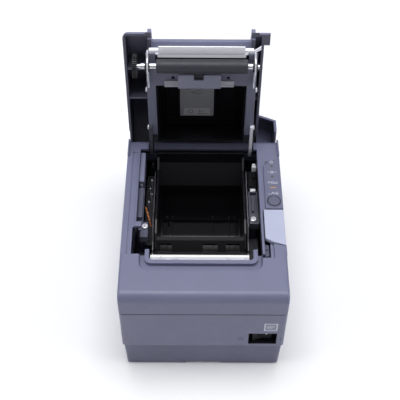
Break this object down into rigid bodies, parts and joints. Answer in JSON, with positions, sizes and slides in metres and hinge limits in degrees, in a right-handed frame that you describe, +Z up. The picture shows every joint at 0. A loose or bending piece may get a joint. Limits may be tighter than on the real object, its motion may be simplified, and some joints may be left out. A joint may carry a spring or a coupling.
{
  "type": "receipt printer",
  "caption": "Thermal receipt printer with an upright open roll cover, curved paper well, control panel, sliding front cover and rear sockets.",
  "frame": {"origin": "centre of the footprint of the printer with its cover open, on the plane its feet stand on", "axes": "+Z up, +X to the right seen from the front, front face towards -Y"},
  "size_m": [0.145, 0.2246, 0.2332],
  "materials": {
    "case_grey": "finely textured",
    "dark_plastic": "satin",
    "black_gloss": "polished",
    "light_plastic": "finely textured",
    "amber_lens": "clear",
    "green_lens": "clear",
    "steel": "bright",
    "steel_frame": "plated",
    "aluminium": "cast",
    "rubber": "ground",
    "green_board": "lacquered",
    "brass": "plain",
    "lead": "plain"
  },
  "bodies": {
    "chassis": {"lower_case": "case_grey", "rubber_feet": "rubber", "main_case": "case_grey", "roll_well": "black_gloss", "paper_guide": "dark_plastic", "side_frames": "steel_frame", "left_latch_block": "dark_plastic", "right_latch_block": "dark_plastic", "block_screws": "steel", "thermal_head": "aluminium", "head_heat_sink": "aluminium", "head_springs": "steel", "cutter_frame": "steel", "cutter_motor": "steel_frame", "feed_motor": "steel_frame", "idler_stud": "steel", "hinge_rod": "steel", "control_panel": "case_grey", "status_lamps": "green_lens", "paper_lamp": "amber_lens", "panel_board": "green_board", "paddle_pin": "steel", "switch_body": "dark_plastic", "main_board": "green_board", "interface_panel": "steel_frame", "socket_plate": "steel_frame", "serial_socket": "steel", "usb_socket": "steel", "drawer_socket": "dark_plastic", "power_inlet": "dark_plastic", "panel_thumb_screws": "steel", "interface_board": "green_board", "sensor_lead": "lead", "cover_sensor": "dark_plastic", "sensor_spring": "steel"},
    "roll_cover": {"cover_shell": "case_grey", "cover_liner": "dark_plastic", "cover_frame": "dark_plastic", "hinge_arms": "steel", "platen_plates": "steel", "platen_bushes": "dark_plastic", "fixed_blade": "steel", "blade_holder": "steel", "guide_flap": "dark_plastic", "guide_strip": "steel", "paper_sensor": "dark_plastic", "cover_rivets": "steel"},
    "platen": {"platen_shaft": "steel", "platen_roller": "rubber", "platen_gear": "black_gloss"},
    "front_cover": {"front_cover": "case_grey"},
    "feed_button": {"feed_button": "light_plastic"},
    "release_paddle": {"release_paddle": "light_plastic"},
    "switch_rocker": {"switch_rocker": "dark_plastic"},
    "feed_idler": {"feed_idler": "light_plastic"},
    "feed_pinion": {"feed_pinion": "light_plastic"},
    "moving_blade": {"moving_blade": "steel"},
    "cutter_gear": {"cutter_gear": "light_plastic"},
    "cutter_worm": {"cutter_worm": "brass", "cutter_knob": "dark_plastic"}
  },
  "joints": [
    {"name": "cover_hinge", "type": "hinge", "parent": "chassis", "child": "roll_cover", "pos_m": [0, 0.0652, 0.1016], "axis": [1, 0, 0], "range_deg": [0, 92.3]},
    {"name": "platen_spin", "type": "hinge", "parent": "roll_cover", "child": "platen", "pos_m": [0, 0.05912, 0.21443], "axis": [1, 0, 0], "continuous": true},
    {"name": "front_cover_slide", "type": "slide", "parent": "chassis", "child": "front_cover", "axis": [0, -1, 0], "range_m": [0, 0.02]},
    {"name": "feed_button_press", "type": "slide", "parent": "chassis", "child": "feed_button", "axis": [0, 0, -1], "range_m": [0, 0.0008], "stiffness_N_per_m": 1000, "springref_m": -0.001},
    {"name": "release_paddle_press", "type": "hinge", "parent": "chassis", "child": "release_paddle", "pos_m": [0, -0.0228, 0.1024], "axis": [1, 0, 0], "range_deg": [0, 5], "stiffness_Nm_per_rad": 0.3, "springref_deg": -8.59},
    {"name": "switch_rock", "type": "hinge", "parent": "chassis", "child": "switch_rocker", "pos_m": [0.0529, -0.1033, 0], "axis": [0, 0, 1], "range_deg": [-12, 0]},
    {"name": "idler_spin", "type": "hinge", "parent": "chassis", "child": "feed_idler", "pos_m": [0, -0.05159, 0.075], "axis": [1, 0, 0], "continuous": true},
    {"name": "pinion_spin", "type": "hinge", "parent": "chassis", "child": "feed_pinion", "pos_m": [0, -0.05659, 0.06634], "axis": [1, 0, 0], "continuous": true},
    {"name": "cutter_gear_turn", "type": "hinge", "parent": "chassis", "child": "cutter_gear", "pos_m": [-0.01933, -0.0949, 0], "axis": [0, 0, 1], "range_deg": [0, 75]},
    {"name": "blade_slide", "type": "slide", "parent": "chassis", "child": "moving_blade", "axis": [0, 1, 0], "range_m": [0, 0.0079]},
    {"name": "cutter_worm_turn", "type": "hinge", "parent": "chassis", "child": "cutter_worm", "pos_m": [0, -0.0821, 0.09], "axis": [1, 0, 0], "range_deg": [0, 1802]}
  ],
  "couplings": [
    {"joint": "pinion_spin", "follows": "idler_spin", "ratio": -2},
    {"joint": "cutter_gear_turn", "follows": "blade_slide", "rad_per_m": 165.29},
    {"joint": "cutter_worm_turn", "follows": "blade_slide", "rad_per_m": 3966.9}
  ]
}
